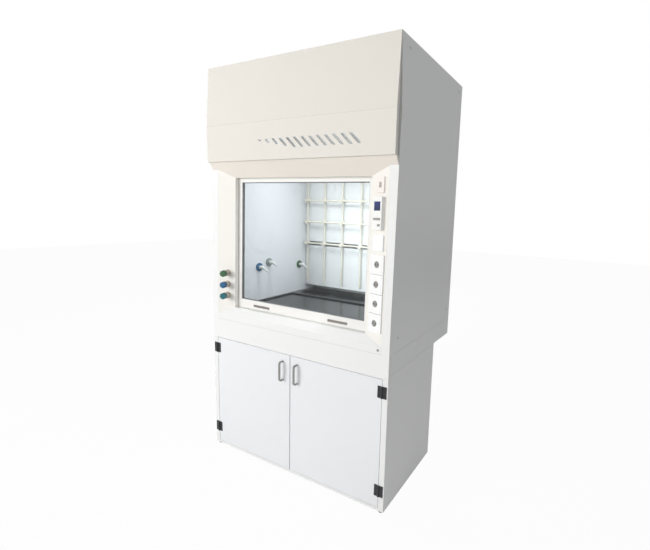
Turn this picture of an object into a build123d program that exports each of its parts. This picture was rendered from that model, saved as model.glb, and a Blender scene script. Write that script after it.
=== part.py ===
# Laboratory fume hood on a cupboard base, in millimetres.
# X runs across the front, Y runs from the front to the back, Z is up.
# While the pieces are made, y = 0 is the front plane of the doors; at the end
# everything moves so that the origin is the middle of the floor under the hood.
from math import cos, hypot, pi, radians, sin, tan
import os

from build123d import *

os.makedirs("parts", exist_ok=True)

# Outer sizes
overall_width = 1200
hood_height = 2250
hood_depth = 850
base_depth = 600
base_height = 720
waist_height = 102
sheet = 1.5
edge_radius = 2.0
panel_lip = 30
half_width = overall_width / 2
waist_top = base_height + waist_height

# Fits and clearances
seam = 0.5
slip = 0.3
pin_clearance = 0.05
running_gap = 0.5

# Base cabinet
foot_height = 12
foot_radius = 15
foot_inset = 22
stile_width = 30
door_thickness = 20
door_bottom = 28
door_top_drop = 19
door_top = base_height - door_top_drop
door_gap = 4
door_lip = 14
door_top_gap = 2
apron_bottom = door_top + door_top_gap
apron_depth = 20
catch_shelf = 40
catch_inset = 10
floor_panel_height = 60
back_panel_depth = 15
shelf_height = 390
shelf_thickness = 24
shelf_front = 25
shelf_back_gap = 10
catch_width = 46
catch_height = 15
catch_depth = 16
bay_half = half_width - stile_width
back_front = base_depth - back_panel_depth

# Bow handles
handle_offset = 50
handle_below_top = 38
handle_length = 112
handle_reach = 32
handle_thickness = 6
handle_width = 12
handle_bend = 14
handle_top = door_top - handle_below_top
handle_bottom = handle_top - handle_length

# Butt hinges
hinge_height = 60
hinge_inset = 64
hinge_top_inset = 33
hinge_leaf_width = 24
hinge_leaf = 3
knuckle_radius = 4.5
knuckle_gap = 0.3
hinge_pin_radius = 2.0
hinge_screw_radius = 2.5
hinge_screw_spacing = 36
hinge_low = door_bottom + hinge_inset
hinge_high = door_top - hinge_top_inset - hinge_height
hinge_axis_x = bay_half - seam
hinge_axis_y = -knuckle_radius

# Side panels and the window surround, which leans back a little from the sill upwards
lean = 1.35
side_flange = 42
post_width = 107.5
post_lip_depth = 54
post_lip_width = 30
post_return = 24
body_half = half_width - side_flange
post_outer = body_half - seam
opening_half = post_outer - post_width
worktop_rise = 78
worktop_rim = waist_top + worktop_rise
sill_rise = 38
sill_fold = waist_top + sill_rise
sill_drop = 2
sill_top = worktop_rim - sill_drop
sill_slope_depth = 30
sill_ledge = 84

# Header
header_height = 510
header_bottom = hood_height - header_height
upper_fascia_height = 315
header_seam = hood_height - upper_fascia_height
bevel_height = 85
opening_top = header_bottom - bevel_height
fascia_reach = 20
fascia_underside = 12
fascia_back = 2
bevel_depth = 50
bevel_flange = 22
header_edge_depth = 28
lower_cheek = 40
top_return = 30
top_thickness = 20

# Louvres of the lower fascia
louvre_count = 13
louvre_growing = 4
louvre_pitch = 47
louvre_inset = 93
louvre_rise = 104
louvre_last_x = opening_half - louvre_inset
louvre_top = header_bottom + louvre_rise
louvre_width = 20
louvre_short = 10
louvre_tall = 49
louvre_slant = 46
louvre_depth = 8

# Sash
sash_side_lap = 24
sash_top_lap = 27
sash_front = 56.5
sash_thickness = 21
sash_half = opening_half + sash_side_lap
sash_height = opening_top - sill_top + sash_top_lap
sash_travel = 480
rail_height = 52
stile_member = 50
glass_thickness = 6
glass_bite = 6
track_wall = 2
track_flange = 21
track_top_drop = 65
lug_from_track = 10
track_top = opening_top - track_top_drop
lug_bottom = track_top + lug_from_track
lug_height = 24
lug_thickness = 14
lug_clearance = 16
pull_inset = 185
pull_offset = opening_half - pull_inset
pull_width = 125
pull_height = 14
pull_depth = 9
pull_above_edge = 15

# Work chamber
liner = 6
chamber_half = opening_half + post_lip_width
liner_top_drop = 250
liner_top = hood_height - liner_top_drop
worktop_thickness = 28
worktop_side_gap = 13
worktop_half = body_half - worktop_side_gap
worktop_field = 8
field_margin = 16
worktop_field_half = chamber_half - field_margin
field_front = 112
plenum_depth = 122
baffle_y = hood_depth - plenum_depth
ledge_depth = 168
field_back = baffle_y - ledge_depth
gutter_width = 25
gutter_depth = 5
field_corner = 16
bearer_width = 38
bearer_sheet = 2
bearer_depth = 132
track_back = 80
ceiling_front = 125
baffle_gap_low = 40
slot_rise = 332
slot_height = 30
slot_low = worktop_rim + slot_rise
slot_high = slot_low + slot_height
bend_drop = 270
baffle_slope_depth = 188
baffle_bend = liner_top - bend_drop
baffle_top_y = baffle_y - baffle_slope_depth
sink_from_wall = 160
sink_from_baffle = 73
sink_x = sink_from_wall - chamber_half
sink_y = baffle_y - sink_from_baffle
sink_length = 230
sink_width = 96
sink_depth = 90
sink_wall = 3
sink_rim = 7
drain_radius = 20
drain_length = 60
lamp_from_wall = 180
lamp_half = chamber_half - lamp_from_wall
lamp_front = 240
lamp_width = 90
lamp_height = 44
lamp_rim = 14

# Sash balance: cross shaft, wheels, wire rope and weights
wheel_radius = 55
wheel_width = 12
wheel_flange = 5
rope_radius = 1.5
weight_width = 54
weight_depth = 60
weight_height = 390
weight_gap = 6
weight_hang = 100
weight_eye = 12
shaft_radius = 8
bearing_width = 20
bearing_half = 20
bearing_gap = 5
wheel_x = chamber_half + liner + weight_gap + weight_width / 2
bearing_x = wheel_x + wheel_width / 2 + bearing_gap
shaft_end = bearing_x + bearing_width + bearing_gap
lug_beyond_rope = 9
lug_end = wheel_x + lug_beyond_rope
rim_radius = wheel_radius + wheel_flange
shaft_height = lug_bottom + lug_height + sash_travel + lug_clearance + rim_radius
weight_top = shaft_height - weight_hang

# Exhaust collar
collar_radius = 125
collar_wall = 3
collar_from_back = 170
collar_y = hood_depth - collar_from_back
collar_height = 100
collar_flange = 28
collar_flange_thickness = 3

# Lattice of rods in front of the baffle
rod_radius = 6
rod_columns = 7
rod_edge = 30
rod_pitch = 2 * (chamber_half - rod_edge) / (rod_columns - 1)
rod_from_baffle = 14
row_rises = (350, 502, 653)
rod_bottom_rise = 62
rod_top_gap = 10
rod_y = baffle_y - rod_from_baffle
rod_rows = [worktop_rim + rise for rise in row_rises]
rod_bottom = worktop_rim + rod_bottom_rise
rod_top = baffle_bend - rod_top_gap
row_overhang = 22
clamp_size = 24
rod_air = 0.6
rod_layer = 2 * rod_radius + rod_air
clamp_cover = 4

# Service outlets on the left wall: distance from the front, height over the worktop
outlet_places = ((257, 214), (345, 238), (654, 194))
outlet_radius = 27
outlet_flange = 10
outlet_spigot = 8
outlet_tail = 20
nozzle_radius = 11
nozzle_neck = 24
nozzle_length = 48
nozzle_tip = 5
nozzle_droop = 28
outlets = [(y, worktop_rim + rise) for y, rise in outlet_places]

# Valves on the left post, by their heights over the worktop
valve_rises = (70, 136, 203)
valve_across = 62
escutcheon_radius = 20
escutcheon_height = 4
bonnet_radius = 15
bonnet_height = 29
knob_radius = 19
knob_length = 24
knob_standoff = 31
knob_lobes = 8
knob_lobe_radius = 4
stem_radius = 5
stem_tail = 10
valve_heights = [worktop_rim + rise for rise in valve_rises]

# Controls on the right post, by their heights over the worktop
control_across = 50
plate_thickness = 8
plate_corner = 4
socket_size = (86, 91)
socket_rises = (66, 160, 253, 347)
socket_insert = 68
socket_recess = 3
socket_face_radius = 16
pin_spacing = 15
pin_hole_radius = 3
pin_hole_depth = 4
blank_size = (68, 77)
blank_rise = 448
switch_size = (48, 72)
switch_rise = 714
rocker_size = (14, 24)
rocker_tilt = 6
rocker_depth = 6
case_size = (58, 153)
case_rise = 584
case_thickness = 22
case_corner = 5
screen_size = (40, 42)
screen_rise = 33
screen_thickness = 2
bar_size = (44, 10)
bar_rise = -26
key_size = (16, 10)
key_rise = -54
key_shift = 13
button_proud = 2
button_depth = 8
button_gap = 0.4

# Small fixings
cap_radius = 7
cap_height = 2
cap_inset = 85
cap_back_inset = 60
cap_rise = 69
cap_drop = 45
cap_places = [(y, z) for y in (cap_inset, hood_depth - cap_back_inset)
              for z in (waist_top + cap_rise, hood_height - cap_drop)]
keyhole_radius = 5
keyhole_inset = 20
keyhole_x = body_half - keyhole_inset


def block(x0, x1, y0, y1, z0, z1):
    """Box between two opposite corners."""
    middle = Pos((x0 + x1) / 2, (y0 + y1) / 2, (z0 + z1) / 2)
    return middle * Box(x1 - x0, y1 - y0, z1 - z0)


def prism_x(points, x0, x1):
    """Outline of (y, z) points pushed along X."""
    face = Plane.YZ.offset(x0) * make_face(Polyline(*points, close=True))
    return extrude(face, x1 - x0)


def prism_y(points, y0, y1):
    """Outline of (x, z) points pushed along Y."""
    face = Plane.XZ.offset(-y0) * make_face(Polyline(*points, close=True))
    return extrude(face, y0 - y1)


def prism_z(points, z0, z1):
    """Outline of (x, y) points pushed along Z."""
    face = Plane.XY.offset(z0) * make_face(Polyline(*points, close=True))
    return extrude(face, z1 - z0)


def folded(points, thickness=sheet):
    """Section of a sheet folded along the points, on the left of their line."""
    return make_face(offset(Polyline(*points), thickness, kind=Kind.INTERSECTION, side=Side.LEFT))


def fold_x(points, x0, x1, thickness=sheet):
    """Folded sheet with its bends along X, from (y, z) points."""
    return extrude(Plane.YZ.offset(x0) * folded(points, thickness), x1 - x0)


def fold_y(points, y0, y1, thickness=sheet):
    """Folded sheet with its bends along Y, from (x, z) points."""
    return extrude(Plane.XZ.offset(-y0) * folded(points, thickness), y0 - y1)


def fold_z(points, z0, z1, thickness=sheet):
    """Folded sheet with its bends along Z, from (x, y) points."""
    return extrude(Plane.XY.offset(z0) * folded(points, thickness), z1 - z0)


def other_side(shape):
    """The same piece on the other side of the hood."""
    return mirror(shape, about=Plane.YZ)


def pair(shape):
    """A right-hand piece and its mirror image, as separate solids."""
    return Compound([shape, other_side(shape)])


def tray(low, high, axis, mouth_up, lip):
    """Folded sheet tray from corner to corner, open along one axis, with a lip round its mouth."""
    skin = 0 if mouth_up else -1
    body = block(low[0], high[0], low[1], high[1], low[2], high[2])
    across = (Axis.X, Axis.Y, Axis.Z)[axis]
    body = fillet(body.faces().sort_by(across)[skin].edges(), edge_radius)
    cavity_low = [value + sheet for value in low]
    cavity_high = [value - sheet for value in high]
    mouth_low = [value + lip for value in low]
    mouth_high = [value - lip for value in high]
    mouth_low[axis] = high[axis] - sheet if mouth_up else low[axis]
    mouth_high[axis] = high[axis] if mouth_up else low[axis] + sheet
    for a, b in ((cavity_low, cavity_high), (mouth_low, mouth_high)):
        body -= block(a[0], b[0], a[1], b[1], a[2], b[2])
    return body


def side_tray(points, depth, lip):
    """Right-hand side panel: skin on the outside, flanges and lips folded inwards."""
    outline = make_face(Polyline(*points, close=True))
    inner = half_width - depth
    body = extrude(Plane.YZ.offset(inner) * outline, depth)
    body = fillet(body.faces().sort_by(Axis.X)[-1].edges(), edge_radius)
    hollow = offset(outline, -sheet, kind=Kind.INTERSECTION)
    body -= extrude(Plane.YZ.offset(inner + sheet) * hollow, depth - 2 * sheet)
    mouth = offset(outline, -lip, kind=Kind.INTERSECTION)
    return body - extrude(Plane.YZ.offset(inner) * mouth, sheet)


# The leaning frame of the window surround and the sash: its origin is on the
# front plane at the fold of the sill, and its height runs up the lean.
front = Pos(0, 0, sill_fold) * Rot(-lean, 0, 0)
lean_sin = sin(radians(lean))
lean_cos = cos(radians(lean))


def leaned_y(depth, height):
    """World y of the plane that lies at this depth in the leaning frame."""
    return depth / lean_cos + (height - sill_fold) * tan(radians(lean))


def up_lean(height, depth):
    """Height in the leaning frame of a point at this world height and leaning depth."""
    return (height - sill_fold + depth * lean_sin) / lean_cos


parts = {}

# Base cabinet: side panels, floor, back and shelf
base_side = side_tray([(0, foot_height), (base_depth, foot_height), (base_depth, base_height),
                       (apron_depth, base_height), (apron_depth, apron_bottom),
                       (0, apron_bottom)], stile_width, panel_lip)
parts["base_side_right"] = base_side
parts["base_side_left"] = other_side(base_side)
kick_top = door_bottom - 1
parts["base_floor"] = fold_x([(back_front, panel_lip), (back_front, floor_panel_height),
                              (door_thickness + 4, floor_panel_height),
                              (door_thickness + 4, kick_top), (0, kick_top),
                              (0, foot_height), (door_lip, foot_height)], -bay_half, bay_half)
parts["base_back"] = tray((-bay_half, back_front, foot_height),
                          (bay_half, base_depth, base_height), 1, False, door_lip)
parts["base_shelf"] = tray((-bay_half + seam, shelf_front, shelf_height - shelf_thickness),
                           (bay_half - seam, back_front - shelf_back_gap, shelf_height),
                           2, False, door_lip)
foot_outline = make_face(Polyline((0, 0), (foot_radius - 1, 0), (foot_radius, 1), (foot_radius, 4),
                                  (6, 6), (6, foot_height), (0, foot_height), close=True))
foot = revolve(Plane.XZ * foot_outline, Axis.Z)
parts["levelling_feet"] = Compound([Pos(x, y, 0) * foot
                                    for x in (foot_inset - half_width, half_width - foot_inset)
                                    for y in (foot_inset, base_depth - foot_inset)])

# Doors, inset between the stiles, with bow handles
door_right = tray((door_gap / 2, 0, door_bottom),
                  (bay_half - door_gap / 2, door_thickness, door_top), 1, True, door_lip)
parts["door_right"] = door_right
parts["door_left"] = other_side(door_right)
bow = FilletPolyline((0, handle_bottom), (-handle_reach, handle_bottom),
                     (-handle_reach, handle_top), (0, handle_top), radius=handle_bend)
bow_face = make_face(offset(bow, handle_thickness, side=Side.RIGHT))
handle = extrude(Plane.YZ.offset(handle_offset - handle_width / 2) * bow_face, handle_width)
parts["handle_right"] = handle
parts["handle_left"] = other_side(handle)

# Butt hinges in front of the doors: the outer knuckles and the pin stay with
# the stile, the middle knuckle turns with the door
knuckle_bore = hinge_pin_radius + pin_clearance
third = hinge_height / 3
turning_z = (third + knuckle_gap, 2 * third - knuckle_gap)
still_z = ((0, third), (2 * third, hinge_height))
leaf_clear = knuckle_radius + knuckle_gap


def knuckle(low, high, bore):
    """One knuckle of a hinge round its axis."""
    ring = Cylinder(knuckle_radius, high - low) - Cylinder(bore, high - low)
    return Pos(hinge_axis_x, hinge_axis_y, (low + high) / 2) * ring


def leaf(side, spans, bore):
    """Leaf of a right-hand hinge at z = 0, on one side of the axis, with its knuckles."""
    near = hinge_axis_x + side * leaf_clear
    far = hinge_axis_x + side * hinge_leaf_width
    plate = block(min(near, far), max(near, far), -hinge_leaf, 0, 0, hinge_height)
    for low, high in spans:
        web = block(min(hinge_axis_x, near), max(hinge_axis_x, near), -hinge_leaf, 0, low, high)
        plate += web + knuckle(low, high, bore)
        drill = Pos(hinge_axis_x, hinge_axis_y, (low + high) / 2)
        plate -= drill * Cylinder(bore, high - low)
    for rise in (-hinge_screw_spacing / 2, hinge_screw_spacing / 2):
        screw = Pos((near + far) / 2, 0, hinge_height / 2 + rise) * Rot(90, 0, 0)
        plate -= screw * Cylinder(hinge_screw_radius, 3 * hinge_leaf)
    return plate


still_leaf = leaf(1, still_z, hinge_pin_radius)
turning_leaf = leaf(-1, (turning_z,), knuckle_bore)
pin = Pos(hinge_axis_x, hinge_axis_y, hinge_height / 2) * Cylinder(hinge_pin_radius, hinge_height)
hinge_feet = [Pos(0, 0, height) for height in (hinge_low, hinge_high)]
right_leaves = Compound([foot_at * turning_leaf for foot_at in hinge_feet])
stile_leaves = [foot_at * still_leaf for foot_at in hinge_feet]
pins = [foot_at * pin for foot_at in hinge_feet]
parts["hinge_stile_leaves"] = Compound(stile_leaves + [other_side(item) for item in stile_leaves])
parts["hinge_pins"] = Compound(pins + [other_side(item) for item in pins])
parts["hinge_leaves_right"] = right_leaves
parts["hinge_leaves_left"] = other_side(right_leaves)

# Apron over the doors, with the shelf that carries the magnetic catches
apron = tray((-half_width, 0, apron_bottom), (half_width, apron_depth, waist_top), 1, True,
             door_lip)
parts["apron"] = apron + block(seam - bay_half, bay_half - seam, apron_depth - sheet,
                               catch_shelf, apron_bottom, apron_bottom + sheet)
catch = block(catch_inset, catch_inset + catch_width, door_thickness,
              door_thickness + catch_depth, apron_bottom - catch_height, apron_bottom)
catch = fillet(catch.faces().sort_by(Axis.Z)[0].edges(), edge_radius)
parts["door_catches"] = pair(catch)

# Upper body: waist, side, back and top panels
waist = side_tray([(apron_depth, base_height), (hood_depth, base_height),
                   (hood_depth, waist_top), (apron_depth, waist_top)], side_flange, panel_lip)
parts["waist_panels"] = pair(waist)
side_outline = [(0, waist_top), (hood_depth, waist_top), (hood_depth, hood_height),
                (fascia_back + slip, hood_height), (header_edge_depth, header_seam),
                (leaned_y(0, header_bottom), header_bottom), (0, sill_fold)]
side_panel = side_tray(side_outline, side_flange, panel_lip)
parts["side_right"] = side_panel
parts["side_left"] = other_side(side_panel)
parts["back_panel"] = fold_x([(base_depth - panel_lip / 2, base_height), (hood_depth, base_height),
                              (hood_depth, hood_height), (hood_depth - door_lip, hood_height)],
                             -body_half, body_half)
inner_back = hood_depth - door_lip - 2
top_panel = tray((seam - body_half, top_return, hood_height - top_thickness),
                 (body_half - seam, inner_back, hood_height), 2, False, door_lip)
collar_hole = Pos(0, collar_y, hood_height) * Cylinder(collar_radius + slip, 4 * top_thickness)
parts["top_panel"] = top_panel - collar_hole

# Exhaust collar, from the ceiling of the chamber up through the top panel
collar_top = hood_height + collar_height
ceiling_top = liner_top + liner
collar_inner = collar_radius - collar_wall
flange_radius = collar_radius + collar_flange
flange_above = hood_height + collar_flange_thickness
flange_low = ceiling_top + collar_flange_thickness
collar_outline = make_face(Polyline(
    (collar_inner, ceiling_top), (flange_radius, ceiling_top), (flange_radius, flange_low),
    (collar_radius, flange_low), (collar_radius, hood_height), (flange_radius, hood_height),
    (flange_radius, flange_above), (collar_radius, flange_above), (collar_radius, collar_top),
    (collar_inner, collar_top), close=True))
parts["exhaust_collar"] = Pos(0, collar_y, 0) * revolve(Plane.XZ * collar_outline, Axis.Z)

# Round caps over the side fixings
cap = extrude(Circle(cap_radius), cap_height)
cap = fillet(cap.faces().sort_by(Axis.Z)[-1].edges(), cap_height / 2)
caps = [Pos(half_width, y, z) * Rot(0, 90, 0) * cap for y, z in cap_places]
parts["side_fixings"] = Compound(caps + [other_side(item) for item in caps])

# Sill, and the regions that it and the header cut away from the posts
sill = fold_x([(sill_ledge, sill_top - panel_lip / 2), (sill_ledge, sill_top),
               (sill_slope_depth, sill_top), (0, sill_fold), (0, waist_top),
               (door_lip, waist_top)], seam - body_half, body_half - seam)
keyhole = Pos(keyhole_x, 0, (waist_top + sill_fold) / 2) * Rot(90, 0, 0)
parts["sill"] = sill - keyhole * Cylinder(keyhole_radius, 4 * sheet)
slope = (sill_top - sill_fold) / sill_slope_depth
under_sill = prism_x([(-panel_lip, sill_fold - slope * panel_lip), (0, sill_fold),
                      (sill_slope_depth, sill_top), (hood_depth, sill_top),
                      (hood_depth, 0), (-panel_lip, 0)], -half_width, half_width)
bevel_front = -fascia_reach + fascia_underside
bevel_back = bevel_depth + bevel_flange
bevel_slope = (header_bottom - opening_top) / (bevel_depth - bevel_front)
above_bevel = prism_x([(bevel_front - panel_lip, header_bottom + bevel_slope * panel_lip),
                       (bevel_depth, opening_top), (hood_depth, opening_top),
                       (hood_depth, hood_height), (bevel_front - panel_lip, hood_height)],
                      -half_width, half_width)

# Posts beside the opening, each a folded sheet with a slanted face
post_plan = folded([(opening_half + post_lip_width, post_lip_depth), (opening_half, post_lip_depth),
                    (opening_half, sill_slope_depth), (post_outer, 0), (post_outer, post_return)])
tall = hood_height - sill_top
post = front * Pos(0, 0, -panel_lip) * extrude(post_plan, tall)
post = post - under_sill - above_bevel
face_run = hypot(post_width, sill_slope_depth)
face_x = post_width / face_run
face_y = sill_slope_depth / face_run


def on_post(side, across, height):
    """Location on a slanted post face: x runs right, y up the lean, z out of the face."""
    depth = across * face_y
    origin = (side * (post_outer - across * face_x), depth, up_lean(height, depth))
    plane = Plane(origin, x_dir=(face_x, -side * face_y, 0), z_dir=(-side * face_y, -face_x, 0))
    return front * plane.location


stem_bore = Cylinder(stem_radius + 2 * pin_clearance, 6 * escutcheon_height)
left_post = other_side(post)
for height in valve_heights:
    left_post -= on_post(-1, valve_across, height) * stem_bore
parts["post_left"] = left_post
parts["post_right"] = post

# Header: bevelled underside, louvred lower fascia and leaning upper fascia
header_half = half_width - sheet
bevel = fold_x([(bevel_front, header_bottom), (bevel_depth, opening_top),
                (bevel_back, opening_top)], -header_half, header_half)
behind_edge = [(leaned_y(0, opening_top) - seam, opening_top - panel_lip),
               (leaned_y(0, header_bottom) - seam, header_bottom),
               (hood_depth, header_bottom), (hood_depth, opening_top - panel_lip)]
bevel -= pair(prism_x(behind_edge, body_half - seam, half_width))
bevel -= block(-half_width, half_width, bevel_front - sheet, fascia_back,
               header_bottom, header_seam)
gusset_back = leaned_y(0, opening_top) - seam
gusset_low = header_bottom - bevel_slope * (gusset_back - bevel_front)
gusset = prism_x([(bevel_front, header_bottom), (gusset_back, gusset_low),
                  (gusset_back, header_bottom)], header_half - sheet, header_half)
parts["header_bevel"] = bevel + gusset + other_side(gusset)
cheek_x = body_half - pin_clearance * 2
fascia_plan = [(cheek_x, lower_cheek), (cheek_x, fascia_back), (header_half, fascia_back),
               (header_half, -fascia_reach)]
fascia_line = [(-x, y) for x, y in fascia_plan] + fascia_plan[::-1]
fascia = fold_z(fascia_line, header_bottom, header_seam)
lip_back = bevel_front
for level in (header_bottom, header_seam - sheet):
    fascia += block(-header_half, header_half, -fascia_reach, lip_back, level, level + sheet)
for index in range(louvre_count):
    growth = min(index / louvre_growing, 1)
    louvre_foot = louvre_top - louvre_short - (louvre_tall - louvre_short) * growth
    top_x = louvre_last_x - (louvre_count - 1 - index) * louvre_pitch
    foot_x = top_x + (louvre_top - louvre_foot) * tan(radians(louvre_slant))
    slot = [(foot_x, louvre_foot), (foot_x + louvre_width, louvre_foot),
            (top_x + louvre_width, louvre_top), (top_x, louvre_top)]
    fascia -= prism_y(slot, -fascia_reach - sheet, -fascia_reach + 2 * sheet)
    blade = [(foot_x, louvre_foot), (foot_x + sheet, louvre_foot),
             (top_x + sheet, louvre_top), (top_x, louvre_top)]
    fascia += prism_y(blade, -fascia_reach, -fascia_reach + louvre_depth)
parts["fascia_lower"] = fascia
upper_front = [(top_return, hood_height), (0, hood_height), (-fascia_reach, header_seam),
               (lip_back, header_seam)]
upper = fold_x(upper_front, -header_half, header_half)
upper -= pair(block(cheek_x, half_width, fascia_back, top_return + sheet,
                    hood_height - panel_lip, hood_height))
wedge = [(0, hood_height), (-fascia_reach, header_seam), (fascia_back, header_seam),
         (fascia_back, hood_height)]
wedge_end = prism_x(wedge, header_half - sheet, header_half)
web = block(cheek_x, header_half, fascia_back - sheet, fascia_back, header_seam, hood_height)
cheek = block(cheek_x - sheet, cheek_x, fascia_back - sheet, top_return - seam,
              header_seam, hood_height)
for piece in (wedge_end, web, cheek):
    upper = upper + piece + other_side(piece)
parts["fascia_upper"] = upper

# Worktop with a raised rim, a recessed field and a gutter, on two bearers
worktop = block(-worktop_half, worktop_half, sill_ledge, inner_back - 2,
                worktop_rim - worktop_thickness, worktop_rim)
field_middle = (field_front + field_back) / 2
field_face = RectangleRounded(2 * worktop_field_half, field_back - field_front, field_corner)
field_floor = worktop_rim - worktop_field
worktop -= Pos(0, field_middle, field_floor) * extrude(field_face, worktop_thickness)
gutter_face = RectangleRounded(2 * worktop_field_half, gutter_width, gutter_width / 2 - 1)
worktop -= (Pos(0, field_back - gutter_width / 2, field_floor - gutter_depth)
            * extrude(gutter_face, worktop_thickness))
sink_at = Pos(sink_x, sink_y, worktop_rim)
bowl_face = SlotOverall(sink_length, sink_width)
parts["worktop"] = worktop - sink_at * extrude(bowl_face, 2 * worktop_thickness, both=True)
bearer_low = worktop_rim - worktop_thickness - bearer_depth
bearer_top = worktop_rim - worktop_thickness
bearer = fold_y([(body_half - panel_lip / 2, bearer_low), (body_half, bearer_low),
                 (body_half, bearer_top), (body_half - bearer_width, bearer_top)],
                top_return, inner_back, bearer_sheet)
parts["worktop_bearers"] = pair(bearer)

# Cup sink, sunk into the raised ledge behind the gutter
bowl = extrude(bowl_face, -sink_depth)
bowl += extrude(SlotOverall(sink_length + 2 * sink_rim, sink_width + 2 * sink_rim), 2)
bowl += Pos(0, 0, -sink_depth - drain_length / 2) * Cylinder(drain_radius, drain_length)
hollow_face = SlotOverall(sink_length - 2 * sink_wall, sink_width - 2 * sink_wall)
bowl -= Pos(0, 0, sink_wall - sink_depth) * extrude(hollow_face, 2 * sink_depth)
bowl -= Pos(0, 0, -sink_depth) * Cylinder(drain_radius - sink_wall, 4 * drain_length)
parts["cup_sink"] = sink_at * bowl

# Chamber: side boards, ceiling with its lamp, and the two baffle boards
board_front = track_back + slip
board = prism_x([(leaned_y(board_front, worktop_rim), worktop_rim),
                 (inner_back - 2, worktop_rim), (inner_back - 2, liner_top),
                 (leaned_y(board_front, liner_top), liner_top)],
                chamber_half, chamber_half + liner)
left_board = other_side(board)
for y, z in outlets:
    left_board -= Pos(-chamber_half, y, z) * Rot(0, 90, 0) * Cylinder(outlet_spigot, 6 * liner)
parts["chamber_sides"] = Compound([board, left_board])
ceiling = block(-chamber_half - liner, chamber_half + liner, ceiling_front, inner_back - 2,
                liner_top, ceiling_top)
ceiling -= Pos(0, collar_y, liner_top) * Cylinder(collar_inner, 4 * liner)
ceiling -= block(-lamp_half - slip, lamp_half + slip, lamp_front - slip,
                 lamp_front + lamp_width + slip, liner_top - liner, ceiling_top)
parts["chamber_ceiling"] = ceiling
parts["lamp_lens"] = block(-lamp_half, lamp_half, lamp_front, lamp_front + lamp_width,
                           liner_top + 1, ceiling_top)
parts["lamp_housing"] = tray((-lamp_half - lamp_rim, lamp_front - lamp_rim, ceiling_top),
                             (lamp_half + lamp_rim, lamp_front + lamp_width + lamp_rim,
                              ceiling_top + lamp_height), 2, False, lamp_rim + edge_radius)
baffle_half = chamber_half - slip
parts["baffle_lower"] = block(-baffle_half, baffle_half, baffle_y, baffle_y + liner,
                              worktop_rim + baffle_gap_low, slot_low)
upper_baffle = fold_x([(baffle_top_y, liner_top + liner), (baffle_y, baffle_bend),
                       (baffle_y, slot_high)], -baffle_half, baffle_half, liner)
parts["baffle_upper"] = upper_baffle - block(-half_width, half_width, 0, hood_depth,
                                             liner_top, hood_height)

# Lattice: upright rods, cross rods in front of them, and a clamp at each crossing
columns = [(index - (rod_columns - 1) / 2) * rod_pitch for index in range(rod_columns)]
upright = Cylinder(rod_radius, rod_top - rod_bottom)
upright = chamfer(upright.edges().filter_by(GeomType.CIRCLE), 1)
row_length = columns[-1] - columns[0] + 2 * row_overhang
cross_rod = Rot(0, 90, 0) * chamfer(Cylinder(rod_radius, row_length).edges()
                                    .filter_by(GeomType.CIRCLE), 1)
cross_y = rod_y - rod_layer
rods = [Pos(x, rod_y, (rod_bottom + rod_top) / 2) * upright for x in columns]
rods += [Pos(0, cross_y, z) * cross_rod for z in rod_rows]
clamp_front = cross_y - rod_radius - clamp_cover
clamp_back = rod_y + rod_radius + clamp_cover
half_clamp = clamp_size / 2
clamp_body = block(-half_clamp, half_clamp, clamp_front, clamp_back, -half_clamp, half_clamp)
clamp_body = chamfer(clamp_body.edges().filter_by(Axis.Y), clamp_cover)
upright_bore = Cylinder(rod_radius + pin_clearance, 2 * clamp_size)
clamp_body -= Pos(0, rod_y, 0) * upright_bore
clamp_body -= Pos(0, cross_y, 0) * Rot(0, 90, 0) * upright_bore
standoff = Pos(0, clamp_back, 0) * Rot(-90, 0, 0) * extrude(Circle(rod_radius),
                                                           baffle_y - clamp_back)
clamps = []
for row, z in enumerate(rod_rows):
    for column, x in enumerate(columns):
        stands = row > 0 and column % 2 == 0
        clamps.append(Pos(x, 0, z) * (clamp_body + standoff if stands else clamp_body))
parts["lattice"] = Compound(rods + clamps)

# Service outlets on the left wall: a flange and a drooping hose nozzle each
flange_outline = make_face(Polyline(
    (0, -outlet_tail), (outlet_spigot - pin_clearance, -outlet_tail),
    (outlet_spigot - pin_clearance, 0), (outlet_radius, 0),
    (outlet_radius, outlet_flange - 3), (outlet_radius - 5, outlet_flange),
    (0, outlet_flange), close=True))
flange = Rot(0, 90, 0) * revolve(Plane.XZ * flange_outline, Axis.Z)
barb_line = [(0, 0), (nozzle_radius - 1, 0), (nozzle_radius - 1, nozzle_length * 0.3),
             (nozzle_tip + 1, nozzle_length * 0.35), (nozzle_tip + 3, nozzle_length * 0.55),
             (nozzle_tip + 1, nozzle_length * 0.6), (nozzle_tip + 2.5, nozzle_length * 0.78),
             (nozzle_tip, nozzle_length * 0.82), (nozzle_tip, nozzle_length), (0, nozzle_length)]
barb = revolve(Plane.XZ * make_face(Polyline(*barb_line, close=True)), Axis.Z)
barb -= Pos(0, 0, nozzle_length) * Cylinder(nozzle_tip / 2, nozzle_length)
elbow = Pos(nozzle_neck, 0, 0)
nozzle = Rot(0, 90, 0) * extrude(Circle(nozzle_radius), nozzle_neck)
nozzle += elbow * Sphere(nozzle_radius) + elbow * Rot(0, 90 + nozzle_droop, 0) * barb
parts["outlet_flanges"] = Compound([Pos(-chamber_half, y, z) * flange for y, z in outlets])
parts["outlet_nozzles"] = Compound([Pos(outlet_flange - chamber_half, y, z) * nozzle
                                    for y, z in outlets])

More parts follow.
